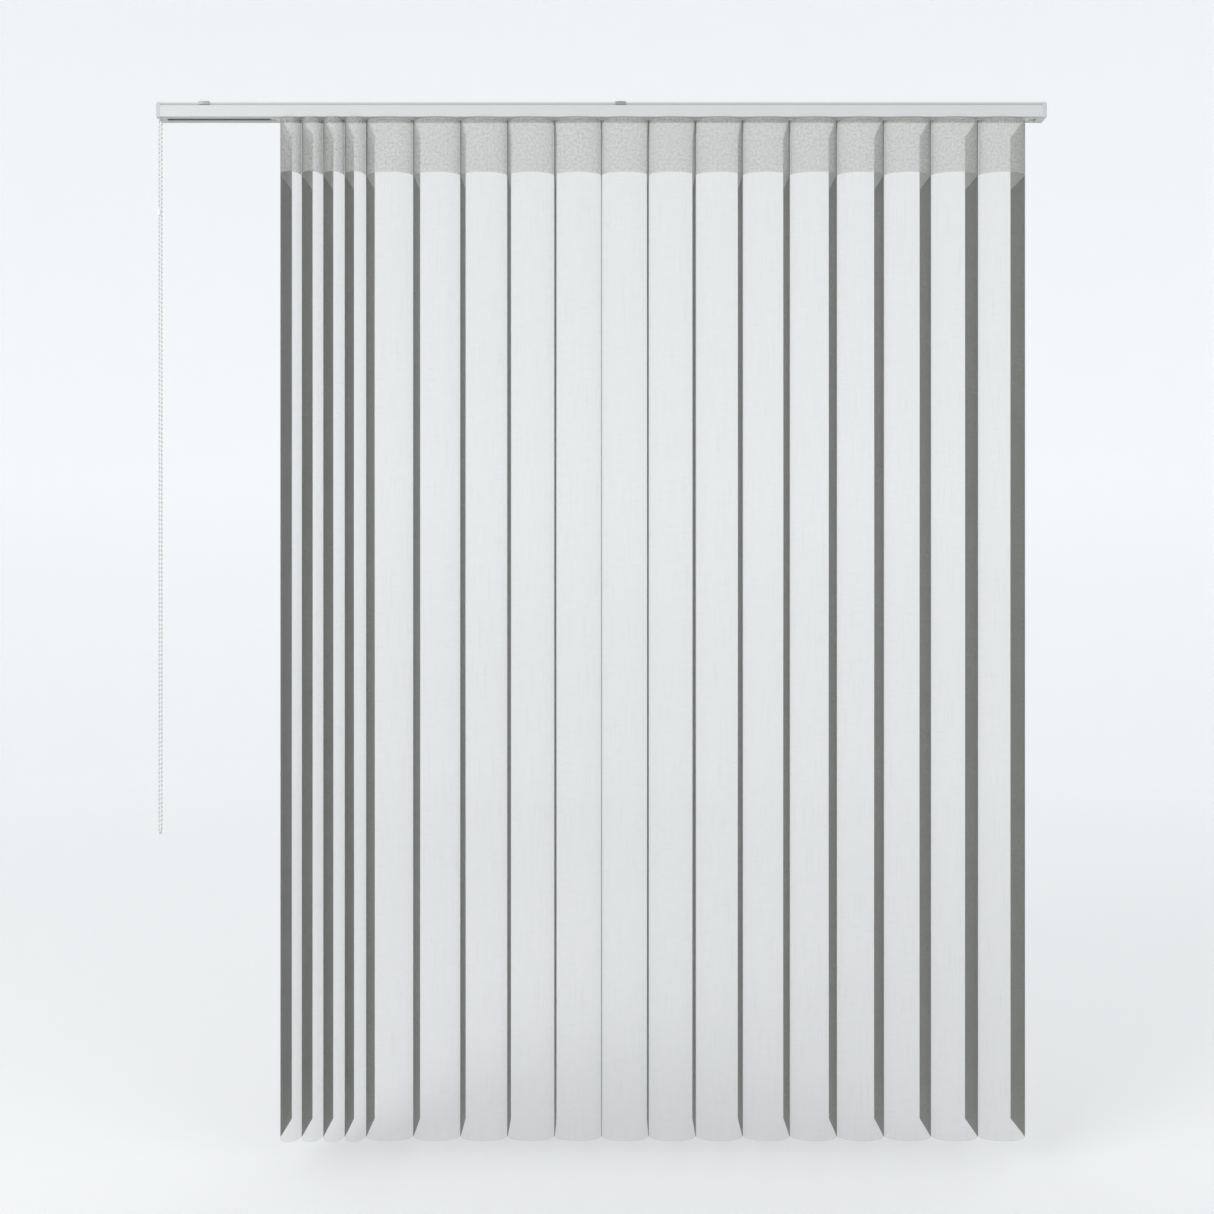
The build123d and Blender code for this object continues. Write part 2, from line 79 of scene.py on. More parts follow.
class Wire:
    """A shader socket that carries one number, so that patterns can be written as sums and products."""

    def __init__(self, bench: "ShaderBench", socket: bpy.types.NodeSocket) -> None:
        """Keep the socket and the bench that it belongs to."""
        self.bench = bench
        self.socket = socket

    def _math(self, operation: str, *values: Any) -> "Wire":
        """Add one Math node.

        Args:
            operation: the Math node's operation.
            values: what its sockets take, in order.

        Returns:
            The node's result.
        """
        return self.bench.wire("ShaderNodeMath", {"operation": operation}, dict(enumerate(values)))

    def __add__(self, other: Scalar) -> "Wire":
        """Sum."""
        return self._math("ADD", self, other)

    __radd__ = __add__

    def __sub__(self, other: Scalar) -> "Wire":
        """Difference."""
        return self._math("SUBTRACT", self, other)

    def __rsub__(self, other: Scalar) -> "Wire":
        """Difference from a plain number."""
        return self._math("SUBTRACT", other, self)

    def __mul__(self, other: Scalar) -> "Wire":
        """Product."""
        return self._math("MULTIPLY", self, other)

    __rmul__ = __mul__

    def sine(self, length: float, shift: Scalar = 0.0) -> "Wire":
        """A wave from 0 to 1 that repeats every length."""
        turned = self * (2 * math.pi / length) + shift
        return turned._math("SINE", turned) * 0.5 + 0.5

    def above(self, level: float, blur: float) -> "Wire":
        """A mask that turns from 0 to 1 around a level.

        Args:
            level: where the mask is one half.
            blur: half the width of the turn.

        Returns:
            The mask.
        """
        sockets = {"Value": self, "From Min": level - blur, "From Max": level + blur}
        return self.bench.wire("ShaderNodeMapRange", {"interpolation_type": "SMOOTHSTEP"}, sockets)

    def __abs__(self) -> "Wire":
        """The number without its sign."""
        return self._math("ABSOLUTE", self)

    def greater(self, other: Scalar) -> "Wire":
        """The larger of two numbers."""
        return self._math("MAXIMUM", self, other)


class ShaderBench:
    """One material's node tree, with a Principled shader to finish on."""

    def __init__(self, name: str) -> None:
        """Start an empty material.

        Args:
            name: the material's name.
        """
        self.material = bpy.data.materials.new(name)
        self.material.use_nodes = True
        self.tree = self.material.node_tree
        self.tree.nodes.clear()

    def node(self, kind: str, settings: dict[str, Any], sockets: dict[Any, Any]) -> bpy.types.Node:
        """Add any node.

        Args:
            kind: the node's type.
            settings: its own settings, set first.
            sockets: what each input takes, by name or number: a value, a wire or a socket.

        Returns:
            The node.
        """
        made = self.tree.nodes.new(kind)
        for key, value in settings.items():
            setattr(made, key, value)
        for key, value in sockets.items():
            if isinstance(value, Wire):
                value = value.socket
            if isinstance(value, bpy.types.NodeSocket):
                self.tree.links.new(value, made.inputs[key])
            else:
                made.inputs[key].default_value = value
        return made

    def wire(self, kind: str, settings: dict[str, Any], sockets: dict[Any, Any], out: Any = 0) -> Wire:
        """Add a node and take one of its outputs.

        Args:
            kind: the node's type.
            settings: its own settings.
            sockets: what each input takes.
            out: the output's name or number.

        Returns:
            That output.
        """
        return Wire(self, self.node(kind, settings, sockets).outputs[out])

    def place(self) -> bpy.types.NodeSocket:
        """The point on the piece, in the blind's own frame."""
        return self.node("ShaderNodeTexCoord", {}, {}).outputs["Object"]

    def cloth_place(self) -> bpy.types.NodeSocket:
        """The point on the flat cloth, in metres across and up."""
        return self.node("ShaderNodeUVMap", {"uv_map": "cloth"}, {}).outputs["UV"]

    def axes(self, vector: bpy.types.NodeSocket) -> list[Wire]:
        """A vector's three numbers."""
        split = self.node("ShaderNodeSeparateXYZ", {}, {"Vector": vector})
        return [Wire(self, output) for output in split.outputs]

    def stretch(self, vector: bpy.types.NodeSocket, scale: Point) -> bpy.types.NodeSocket:
        """A vector scaled along each axis."""
        settings, sockets = {"operation": "MULTIPLY"}, {0: vector, 1: scale}
        return self.node("ShaderNodeVectorMath", settings, sockets).outputs[0]

    def noise(self, vector: bpy.types.NodeSocket, size: float, detail: float = 3.0) -> Wire:
        """Cloudy noise about one half.

        Args:
            vector: where it is read.
            size: the clouds' size, in the vector's units.
            detail: how many finer octaves it has.

        Returns:
            The noise.
        """
        sockets = {"Vector": vector, "Scale": 1.0 / size, "Detail": detail}
        return self.wire("ShaderNodeTexNoise", {}, sockets)

    def tint(self, factor: Wire, low: Any, high: Any) -> bpy.types.NodeSocket:
        """Mix two colours.

        Args:
            factor: how much of the second shows.
            low: the first, a colour or a colour socket.
            high: the second, likewise.

        Returns:
            The mixed colour.
        """
        ends = [end if isinstance(end, bpy.types.NodeSocket) else (*end, 1.0) for end in (low, high)]
        factor_at, low_at, high_at, result = 0, 6, 7, 2
        sockets = {factor_at: factor, low_at: ends[0], high_at: ends[1]}
        return self.node("ShaderNodeMix", {"data_type": "RGBA"}, sockets).outputs[result]

    def bump(self, height: Wire, depth: float) -> bpy.types.NodeSocket:
        """A normal from a height of 0 to 1 that stands for depth metres."""
        sockets = {"Height": height, "Distance": depth, "Strength": 1.0}
        return self.node("ShaderNodeBump", {}, sockets).outputs["Normal"]

    def finish(self, **sockets: Any) -> bpy.types.Material:
        """Close the material on a Principled shader.

        Args:
            sockets: what the shader's inputs take, with _ for each space.

        Returns:
            The material.
        """
        named = {key.replace("_", " "): value for key, value in sockets.items()}
        skin = self.node("ShaderNodeBsdfPrincipled", {}, named)
        self.node("ShaderNodeOutputMaterial", {}, {"Surface": skin.outputs[0]})
        return self.material


# ---------------------------------------------------------------- finishes


def scaled(colour: Colour, share: float) -> Colour:
    """A colour made lighter or darker by a share."""
    return tuple(min(1.0, c * share) for c in colour)


@dataclass(frozen=True)
class PowderCoat:
    """White satin powder coat on aluminium: a fine orange peel and a few real scuffs, with painted shade in
    the channel, in the groove near the top and under the rail.
    """

    name: str = "white_powder_coat"
    colour: Colour = (0.63, 0.64, 0.64)
    # colour of the painted shade in the groove and under the rail, and of the real scuffs
    shade_and_grime: Colour = (0.44, 0.44, 0.42)
    # colour of the painted shade inside the channel
    channel_shade: Colour = (0.52, 0.52, 0.51)
    peel: float = 1.6 * MM
    peel_depth: float = 0.05 * MM
    cloud: float = 45 * MM
    scuff: float = 9 * MM
    groove_top: float = -2.9 * MM
    groove_bottom: float = -5.4 * MM
    # how far the groove near the top is painted in shade
    groove_shade: float = 0.55
    scuff_dust: float = 0.06
    # how far the rail's underside is painted in shade
    under_shade: float = 0.7
    channel_half: float = 15.6 * MM
    channel_foot: float = -23.5 * MM
    # how far the inside of the channel is painted in shade
    channel_shade_share: float = 0.85

    def make(self) -> bpy.types.Material:
        """Build the material.

        Returns:
            The material.
        """
        bench = ShaderBench(self.name)
        place = bench.place()
        peel = bench.noise(place, self.peel, 2.0)
        clouds = bench.noise(bench.stretch(place, (0.25, 1.0, 1.0)), self.cloud)
        _, depth, height = bench.axes(place)
        between = 1.0 - abs(depth).above(self.channel_half, 0.1 * MM)
        inside = height.above(self.channel_foot, 0.15 * MM) * between
        facing = bench.axes(bench.node("ShaderNodeNewGeometry", {}, {}).outputs["Normal"])[2]
        # faces that look down, which are painted in shade
        under = (facing * -1.0).above(0.6, 0.2)
        middle = (self.groove_top + self.groove_bottom) / 2
        reach = (self.groove_top - self.groove_bottom) / 2
        # the groove near the top: painted shade and a rougher surface
        groove = 1.0 - abs(height - middle).above(reach, 0.6 * MM)
        worn = bench.noise(bench.stretch(place, (0.5, 1.0, 1.0)), self.scuff, 4.0).above(0.66, 0.05)
        # painted shade in the groove and under the rail, with real scuffs and a faint random cloud
        shade_and_scuffs = groove * self.groove_shade + worn * self.scuff_dust + under * self.under_shade
        coat = bench.tint(shade_and_scuffs + clouds * 0.05, self.colour, self.shade_and_grime)
        return bench.finish(
            # the inside of the channel is painted in shade
            Base_Color=bench.tint(inside * self.channel_shade_share, coat, self.channel_shade),
            Roughness=0.36 + clouds * 0.12 + groove * 0.2,
            Normal=bench.bump(peel, self.peel_depth),
            Coat_Weight=0.1,
            Coat_Roughness=0.3,
        )


@dataclass(frozen=True)
class MouldedPlastic:
    """Moulded plastic with a spark-eroded grain, faint flow clouds and a rubbed sheen."""

    name: str
    colour: Colour
    roughness: float = 0.42
    grain: float = 0.7 * MM
    grain_depth: float = 0.03 * MM
    shine: float = 0.0
    flow: float = 14 * MM
    rub: float = 5 * MM

    def make(self) -> bpy.types.Material:
        """Build the material.

        Returns:
            The material.
        """
        bench = ShaderBench(self.name)
        place = bench.place()
        grain = bench.noise(place, self.grain, 3.0)
        flow = bench.noise(bench.stretch(place, (1.0, 1.0, 0.4)), self.flow)
        rubbed = bench.noise(place, self.rub, 4.0).above(0.6, 0.08)
        return bench.finish(
            Base_Color=bench.tint(flow, scaled(self.colour, 0.93), scaled(self.colour, 1.04)),
            Roughness=self.roughness + grain * 0.12 - rubbed * 0.08,
            Normal=bench.bump(grain, self.grain_depth),
            Coat_Weight=self.shine,
            Coat_Roughness=0.12,
        )


@dataclass(frozen=True)
class DrawnMetal:
    """Metal with fine lines along its drawing or rolling direction and duller patches."""

    name: str
    colour: Colour
    roughness: float
    along: Point = (0.02, 1.0, 1.0)
    line: float = 0.35 * MM
    line_depth: float = 0.02 * MM
    patch: float = 11 * MM

    def make(self) -> bpy.types.Material:
        """Build the material.

        Returns:
            The material.
        """
        bench = ShaderBench(self.name)
        place = bench.place()
        lines = bench.noise(bench.stretch(place, self.along), self.line, 2.0)
        dull = bench.noise(place, self.patch, 3.0).above(0.58, 0.1)
        return bench.finish(
            Base_Color=bench.tint(lines * 0.6 + dull * 0.4, self.colour, scaled(self.colour, 0.74)),
            Roughness=self.roughness + lines * 0.16 + dull * 0.1,
            Metallic=0.96 - dull * 0.1,
            Normal=bench.bump(lines, self.line_depth),
        )


@dataclass(frozen=True)
class BraidedCord:
    """A braided polyester cord: two sets of yarns that wind opposite ways."""

    name: str = "braided_cord"
    colour: Colour = (0.74, 0.74, 0.71)
    yarn: float = 1.5 * MM
    yarn_depth: float = 0.12 * MM
    fuzz: float = 0.5 * MM

    def make(self) -> bpy.types.Material:
        """Build the material.

        Returns:
            The material.
        """
        bench = ShaderBench(self.name)
        place = bench.place()
        x, y, z = bench.axes(place)
        left = (x + z + y).sine(self.yarn)
        right = (x - z - y).sine(self.yarn)
        braid = left.greater(right)
        fuzz = bench.noise(place, self.fuzz)
        return bench.finish(
            Base_Color=bench.tint(braid * 0.7 + fuzz * 0.3, scaled(self.colour, 0.72), self.colour),
            Roughness=0.75 + fuzz * 0.15,
            Normal=bench.bump(braid * 0.8 + fuzz * 0.2, self.yarn_depth),
        )


@dataclass(frozen=True)
class Cloth:
    """Woven cloth whose threads follow the piece.

    The pitch and depth are the threads', the slubs thicken single threads, the grain is a mottle finer than
    the clouds, and a cover under 1 is the share that the threads fill, with the rest of the cloth open.
    """

    name: str
    colour: Colour
    pitch: float
    depth: float
    cover: float = 1.0
    slub: float = 0.1
    cloud: float = 0.06
    sheen: float = 0.15
    grain: float = 4.0 * MM
    mottle: float = 1.0
    drift: float = 22 * MM
    weft_slub: float = 1.7 * MM
    warp_slub: float = 2.3 * MM
    cloud_size: float = 60 * MM

    def make(self) -> bpy.types.Material:
        """Build the material.

        Returns:
            The material.
        """
        bench = ShaderBench(self.name)
        place = bench.cloth_place()
        across, up, _ = bench.axes(place)
        wander = bench.noise(bench.stretch(place, (1.0, 0.15, 1.0)), self.drift, 1.0) * 1.6
        warp = across.sine(self.pitch, wander)
        weft = up.sine(self.pitch, wander)
        weave = warp.greater(weft)
        slubs = bench.noise(bench.stretch(place, (0.06, 1.0, 1.0)), self.weft_slub, 1.0).above(0.63, 0.07)
        runs = bench.noise(bench.stretch(place, (1.0, 0.03, 1.0)), self.warp_slub, 1.0).above(0.62, 0.08)
        clouds = bench.noise(place, self.cloud_size, 2.0)
        grain = bench.noise(place, self.grain, 1.0)
        dark, light = scaled(self.colour, 0.86 - self.cloud), scaled(self.colour, 1.1 + self.cloud)
        knots = (slubs + runs) * self.slub
        body = weave * 0.3 + clouds * 0.3 + 0.12 + (grain - 0.5) * self.mottle + knots
        more: dict[str, Any] = {}
        if self.cover < 1.0:
            threads = 1.0 - (1.0 - warp) * (1.0 - weft)
            even_share = 0.75  # what these threads fill on average
            knot_cover = (slubs + runs - 0.3) * (self.slub * 0.3)
            more["Alpha"] = threads * (self.cover / even_share) + knot_cover + (clouds - 0.5) * 0.03
        return bench.finish(
            Base_Color=bench.tint(body, dark, light),
            Roughness=0.82 + weave * 0.1,
            Normal=bench.bump(weave * 0.8 + slubs * 0.4 + runs * 0.3, self.depth),
            Sheen_Weight=self.sheen,
            Sheen_Roughness=0.5,
            Specular_IOR_Level=0.25,
            **more,
        )


@dataclass(frozen=True)
class Paper:
    """The studio's pale seamless paper, which glows softly like a lit screen."""

    name: str = "studio_paper"
    colour: Colour = (0.85, 0.858, 0.865)
    glow: float = 0.30
    tooth: float = 3 * MM

    def make(self) -> bpy.types.Material:
        """Build the material.

        Returns:
            The material.
        """
        bench = ShaderBench(self.name)
        tooth = bench.noise(bench.place(), self.tooth, 0.0)
        return bench.finish(
            Base_Color=bench.tint(tooth, scaled(self.colour, 0.99), self.colour),
            Roughness=0.9,
            Specular_IOR_Level=0.1,
            Emission_Color=(*self.colour, 1.0),
            Emission_Strength=self.glow,
        )


class Finish(Enum):
    """The blind's finishes."""

    COAT = PowderCoat()
    CAP = MouldedPlastic("cap_plastic_grain", (0.57, 0.57, 0.56))
    CARRIER = MouldedPlastic("carrier_plastic_grain", (0.80, 0.80, 0.77), 0.36, 0.5 * MM)
    HANGER = MouldedPlastic("hanger_plastic_grain", (0.72, 0.72, 0.69), 0.4, 0.5 * MM)
    BEAD = MouldedPlastic("bead_plastic_grain", (0.70, 0.70, 0.67), 0.22, 0.4 * MM, 0.01 * MM, 0.4)
    CLIP = MouldedPlastic("connector_plastic_grain", (0.9, 0.91, 0.91), 0.15, 0.5 * MM, 0.01 * MM, 0.6)
    SPRING = DrawnMetal("rolled_spring_steel", (0.40, 0.40, 0.385), 0.38)
    ROD = DrawnMetal("drawn_aluminium", (0.78, 0.78, 0.79), 0.26)
    CORD = BraidedCord()
    SHEER = Cloth("sheer_voile", (0.42, 0.425, 0.41), 0.9 * MM, 0.05 * MM, cover=0.25)
    BAND = Cloth(
        "header_band_cloth", (0.60, 0.60, 0.575), 0.8 * MM, 0.14 * MM, cover=0.6, slub=0.16, mottle=4.2
    )
    VANE = Cloth("vane_weave", (0.2, 0.2, 0.184), 1.1 * MM, 0.16 * MM, sheen=0.05, mottle=2.8)
    VANE_HEAD = Cloth(
        "vane_header_weave", (0.52, 0.52, 0.5), 1.0 * MM, 0.14 * MM, sheen=0.05, mottle=2.0
    )
    SEAM = Cloth("sheer_seam_weave", (0.3, 0.3, 0.29), 0.7 * MM, 0.12 * MM)
    PAPER = Paper()

    def material(self) -> bpy.types.Material:
        """The finish's material, made once."""
        return bpy.data.materials.get(self.value.name) or self.value.make()


# ---------------------------------------------------------------- modelling bench


def drop_selection() -> None:
    """Deselect every object."""
    for obj in bpy.context.selected_objects:
        obj.select_set(False)
    bpy.context.view_layer.objects.active = None


def take(obj: bpy.types.Object) -> None:
    """Select one object alone.

    Args:
        obj: the object.
    """
    drop_selection()
    obj.select_set(True)
    bpy.context.view_layer.objects.active = obj


def settle(obj: bpy.types.Object, name: str) -> bpy.types.Object:
    """Name a new object and put its place into its mesh.

    Args:
        obj: the object.
        name: its new name.

    Returns:
        The object.
    """
    obj.name = name
    obj.data.name = name
    take(obj)
    bpy.ops.object.transform_apply(location=True, rotation=True, scale=True)
    return obj


@contextmanager
def editing() -> Iterator[None]:
    """Hold the active piece in edit mode."""
    bpy.ops.object.mode_set(mode="EDIT")
    yield
    bpy.ops.object.mode_set(mode="OBJECT")


def unpick(kind: str) -> None:
    """In edit mode, deselect everything, choose what is picked next, and leave edit mode.

    Args:
        kind: FACE or EDGE.
    """
    bpy.ops.mesh.select_mode(type=kind)
    bpy.ops.mesh.select_all(action="DESELECT")
    bpy.ops.object.mode_set(mode="OBJECT")


def pick_faces(obj: bpy.types.Object, test: Callable[[bpy.types.MeshPolygon], bool]) -> None:
    """In edit mode, select the faces that pass a test and nothing else.

    Args:
        obj: the object being edited.
        test: says whether a face is wanted.
    """
    unpick("FACE")
    for face in obj.data.polygons:
        face.select = test(face)
    bpy.ops.object.mode_set(mode="EDIT")


def pick_edges(obj: bpy.types.Object, test: Callable[[Vector, Vector], bool]) -> None:
    """In edit mode, select the edges that pass a test and nothing else.

    Args:
        obj: the object being edited.
        test: says whether an edge is wanted, from its two ends.
    """
    unpick("EDGE")
    mesh = obj.data
    for edge in mesh.edges:
        edge.select = test(*(mesh.vertices[i].co for i in edge.vertices))
    bpy.ops.object.mode_set(mode="EDIT")


def lift(rise: float) -> None:
    """Extrude what is selected straight up."""
    bpy.ops.mesh.extrude_region_move(TRANSFORM_OT_translate={"value": (0.0, 0.0, rise)})


def number_by_place(obj: bpy.types.Object) -> None:
    """Number a mesh by its parts' distance from one corner.

    A sphere and an extruded face are otherwise numbered in another order each run.

    Args:
        obj: the object.
    """
    take(obj)
    bpy.context.scene.cursor.location = FAR_CORNER
    with editing():
        bpy.ops.mesh.select_all(action="SELECT")
        bpy.ops.mesh.sort_elements(type="CURSOR_DISTANCE", elements={"VERT", "EDGE", "FACE"})
    bpy.context.scene.cursor.location = (0.0, 0.0, 0.0)


def modify(obj: bpy.types.Object, kind: str, **settings: Any) -> None:
    """Add a modifier and apply it.

    Args:
        obj: the object.
        kind: the modifier's type.
        settings: the modifier's own settings.
    """
    take(obj)
    made = obj.modifiers.new(kind.lower(), kind)
    for key, value in settings.items():
        setattr(made, key, value)
    bpy.ops.object.modifier_apply(modifier=made.name)


def smooth(obj: bpy.types.Object, degrees: float = 35.0) -> None:
    """Shade a piece smooth but for its sharp edges."""
    take(obj)
    bpy.ops.object.shade_smooth_by_angle(angle=math.radians(degrees))


def block(name: str, low: Point, high: Point) -> bpy.types.Object:
    """A box to start a piece from.

    Args:
        name: the piece's name.
        low: its lowest corner.
        high: its highest corner.

    Returns:
        The box, placed in its mesh.
    """
    drop_selection()
    middle = [(a + b) / 2 for a, b in zip(low, high)]
    bpy.ops.mesh.primitive_cube_add(size=1.0, location=middle, scale=[b - a for a, b in zip(low, high)])
    return settle(bpy.context.object, name)


def drum(name: str, foot: Point, radius: float, height: float, sides: int) -> bpy.types.Object:
    """An upright cylinder to start a piece from.

    Args:
        name: the piece's name.
        foot: the middle of its lower end.
        radius: its radius.
        height: its height.
        sides: how many sides it has.

    Returns:
        The cylinder, placed in its mesh.
    """
    drop_selection()
    middle = (foot[0], foot[1], foot[2] + height / 2)
    bpy.ops.mesh.primitive_cylinder_add(vertices=sides, radius=radius, depth=height, location=middle)
    return settle(bpy.context.object, name)


def join(pieces: Sequence[bpy.types.Object], name: str) -> bpy.types.Object:
    """Join several objects into the first.

    Args:
        pieces: the objects.
        name: the joined object's name.

    Returns:
        The joined object.
    """
    drop_selection()
    for piece in pieces:
        piece.select_set(True)
    bpy.context.view_layer.objects.active = pieces[0]
    bpy.ops.object.join()
    pieces[0].name = name
    pieces[0].data.name = name
    return pieces[0]


def copy_to(obj: bpy.types.Object, name: str, offset: Point) -> bpy.types.Object:
    """Copy a piece with its own mesh, moved by an offset.

    Args:
        obj: the piece.
        name: the copy's name.
        offset: how far it moves.

    Returns:
        The copy.
    """
    twin = obj.copy()
    twin.data = obj.data.copy()
    twin.name = name
    twin.data.name = name
    for vertex in twin.data.vertices:
        vertex.co += Vector(offset)
    bpy.context.collection.objects.link(twin)
    return twin


def dress(obj: bpy.types.Object, finish: Finish) -> bpy.types.Object:
    """Give a piece one finish all over.

    Args:
        obj: the piece.
        finish: its finish.

    Returns:
        The piece.
    """
    obj.data.materials.clear()
    obj.data.materials.append(finish.material())
    return obj


def place_piece(
    obj: bpy.types.Object, body: str | None, nodes: Iterable[str] = ()
) -> bpy.types.Object:
    """Hand a finished piece to the frame.

    Args:
        obj: the piece.
        body: the CAD body that it rides on, or None to leave it unattached.
        nodes: the CAD nodes that it stands for.

    Returns:
        The piece.
    """
    if body is not None:
        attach(obj, body)
    if nodes:
        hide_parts(*nodes)
    log.info("%s on %s", obj.name, body or "two bodies")
    return obj


def woven_grid(
    name: str,
    columns: int,
    rows: int,
    at: Callable[[float, float], Point],
    flat: Callable[[float, float], tuple[float, float]],
) -> bpy.types.Object:
    """A sheet of cloth: a grid whose points are laid one by one, with the flat cloth's own place kept.

    Args:
        name: the piece's name.
        columns: how many strips it has across.
        rows: how many strips it has upwards.
        at: where a point of the sheet lies, from its shares across and up.
        flat: where that point lies on the flat cloth, in metres.

    Returns:
        The sheet.
    """
    drop_selection()
    bpy.ops.mesh.primitive_grid_add(x_subdivisions=columns, y_subdivisions=rows, size=1.0, calc_uvs=False)
    sheet = bpy.context.object
    sheet.name = name
    mesh = sheet.data
    mesh.name = name
    shares = [(v.co.x + 0.5, v.co.y + 0.5) for v in mesh.vertices]
    for vertex, (across, up) in zip(mesh.vertices, shares):
        vertex.co = at(across, up)
    layer = mesh.uv_layers.new(name="cloth")
    for loop in mesh.loops:
        layer.data[loop.index].uv = flat(*shares[loop.vertex_index])
    mesh.update()
    return sheet


# ---------------------------------------------------------------- places


@dataclass(frozen=True)
class Layout:
    """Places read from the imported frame, in metres."""

    xs: tuple[float, ...]
    top: float
    bottom: float

    @classmethod
    def read(cls) -> "Layout":
        """Read the vanes' places and the cloth's ends.

        Returns:
            The places.
        """
        boxes = [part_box(name) for name in sorted(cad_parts) if name.startswith("vane_")]
        low_end, high_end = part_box("sheer_curtain")
        xs = tuple(round((low.x + high.x) / 2, 6) for low, high in boxes)
        return cls(xs, high_end.z, low_end.z)

    def carrier_body(self, number: int) -> str:
        """The body that carrier number rides on; the last one is fixed to the headrail."""
        return RAIL_BODY if number == len(self.xs) else f"carrier_{number:02d}"


# ---------------------------------------------------------------- studio


@dataclass
class Studio:
    """The camera, a sweep of pale paper and soft lights."""

    camera_at: Point = (0.0092, -2.572, -0.8432)
    aim: Point = (0.0, 0.0, -0.85)
    lens: float = 45.4
    sensor: float = 36.0
    floor: float = -1.80
    floor_radius: float = 6.4
    floor_sides: int = 96
    sweep: float = 1.8
    sweep_steps: int = 14
    wall: float = 5.0
    air: Colour = (0.97, 0.985, 1.0)
    ambient: float = 0.48
    key_at: Point = (-2.6, -3.6, 1.5)
    key_size: float = 2.4
    key_power: float = 66.0
    fill_at: Point = (3.0, -3.4, 0.4)
    fill_power: float = 14.0

    def build(self) -> None:
        """Set up the camera, the paper, the lights and the surroundings."""
        self.camera()
        self.paper()
        self.lamp("key_light", self.key_at, self.key_size, self.key_power)
        self.lamp("fill_light", self.fill_at, self.key_size, self.fill_power)
        world = bpy.data.worlds.new("studio_air")
        world.use_nodes = True
        surroundings = world.node_tree.nodes["Background"].inputs
        surroundings["Color"].default_value = (*self.air, 1.0)
        surroundings["Strength"].default_value = self.ambient
        bpy.context.scene.world = world
        bpy.context.scene.view_settings.view_transform = "Standard"

    def camera(self) -> None:
        """Place the camera level, looking square at the blind."""
        data = bpy.data.cameras.new("studio_camera")
        data.lens = self.lens
        data.sensor_width = self.sensor
        camera = bpy.data.objects.new("studio_camera", data)
        camera.location = self.camera_at
        camera.rotation_euler = (math.pi / 2, 0.0, 0.0)
        bpy.context.collection.objects.link(camera)
        bpy.context.scene.camera = camera

    def paper(self) -> None:
        """Extrude a ring up through a rounded sweep into a wall, and close its foot with the floor."""
        drop_selection()
        foot = (0.0, 0.0, self.floor)
        bpy.ops.mesh.primitive_circle_add(vertices=self.floor_sides, radius=self.floor_radius, location=foot)
        paper = settle(bpy.context.object, "studio_paper")
        with editing():
            bpy.ops.mesh.select_all(action="SELECT")
            radius = self.floor_radius
            for step in range(self.sweep_steps):
                start, stop = (math.pi / 2 * share / self.sweep_steps for share in (step, step + 1))
                lift(self.sweep * (math.cos(start) - math.cos(stop)))
                wider = radius + self.sweep * (math.sin(stop) - math.sin(start))
                bpy.ops.transform.resize(value=(wider / radius, wider / radius, 1.0))
                radius = wider
            lift(self.wall)
            pick_edges(paper, lambda a, b: max(a.z, b.z) < self.floor + MM)
            bpy.ops.mesh.edge_face_add()
            bpy.ops.mesh.select_all(action="SELECT")
            bpy.ops.mesh.normals_make_consistent(inside=True)
        smooth(paper, 60.0)
        dress(paper, Finish.PAPER)

    def lamp(self, name: str, at: Point, size: float, power: float) -> None:
        """Add one soft square light that faces the middle of the blind.

        Args:
            name: the light's name.
            at: where it stands.
            size: the length of its side.
            power: its power in watts.
        """
        data = bpy.data.lights.new(name, "AREA")
        data.shape = "SQUARE"
        data.size = size
        data.energy = power
        lamp = bpy.data.objects.new(name, data)
        lamp.location = at
        facing = Vector(self.aim) - Vector(at)
        lamp.rotation_euler = facing.to_track_quat("-Z", "Y").to_euler()
        bpy.context.collection.objects.link(lamp)


# ---------------------------------------------------------------- cords


def follow(name: str, controls: Sequence[Point]) -> list[Vector]:
    """Draw a cord's route as one smooth curve and read it back as a line.

    Args:
        name: the route's name.
        controls: the curve's control points.

    Returns:
        The line's points.
    """
    data = bpy.data.curves.new(name, "CURVE")
    data.dimensions = "3D"
    data.resolution_u = 16
    spline = data.splines.new("NURBS")
    spline.points.add(len(controls) - 1)
    for point, control in zip(spline.points, controls):
        point.co = (*control, 1.0)
    spline.order_u = 3
    spline.use_endpoint_u = True
    route = bpy.data.objects.new(name, data)
    bpy.context.collection.objects.link(route)
    bpy.context.view_layer.update()
    line = [vertex.co.copy() for vertex in bpy.data.meshes.new_from_object(route).vertices]
    bpy.data.objects.remove(route)
    return line


def tube(name: str, line: Sequence[Vector], radius: float, roundness: int) -> bpy.types.Object:
    """A capped mesh tube along a line.

    Args:
        name: the tube's name.
        line: the points that it follows.
        radius: its radius.
        roundness: how finely it is rounded.

    Returns:
        The tube.
    """
    data = bpy.data.curves.new(name, "CURVE")
    data.dimensions = "3D"
    data.bevel_depth = radius
    data.bevel_resolution = roundness
    data.use_fill_caps = True
    spline = data.splines.new("POLY")
    spline.points.add(len(line) - 1)
    for point, at in zip(spline.points, line):
        point.co = (*at, 1.0)
    bare = bpy.data.objects.new(name, data)
    bpy.context.collection.objects.link(bare)
    take(bare)
    bpy.ops.object.convert(target="MESH")
    made = bpy.context.object
    made.name = name
    made.data.name = name
    with editing():
        bpy.ops.mesh.select_all(action="SELECT")
        bpy.ops.mesh.remove_doubles(threshold=0.001 * MM)
        bpy.ops.mesh.normals_make_consistent(inside=False)
    smooth(made, 60.0)
    return made


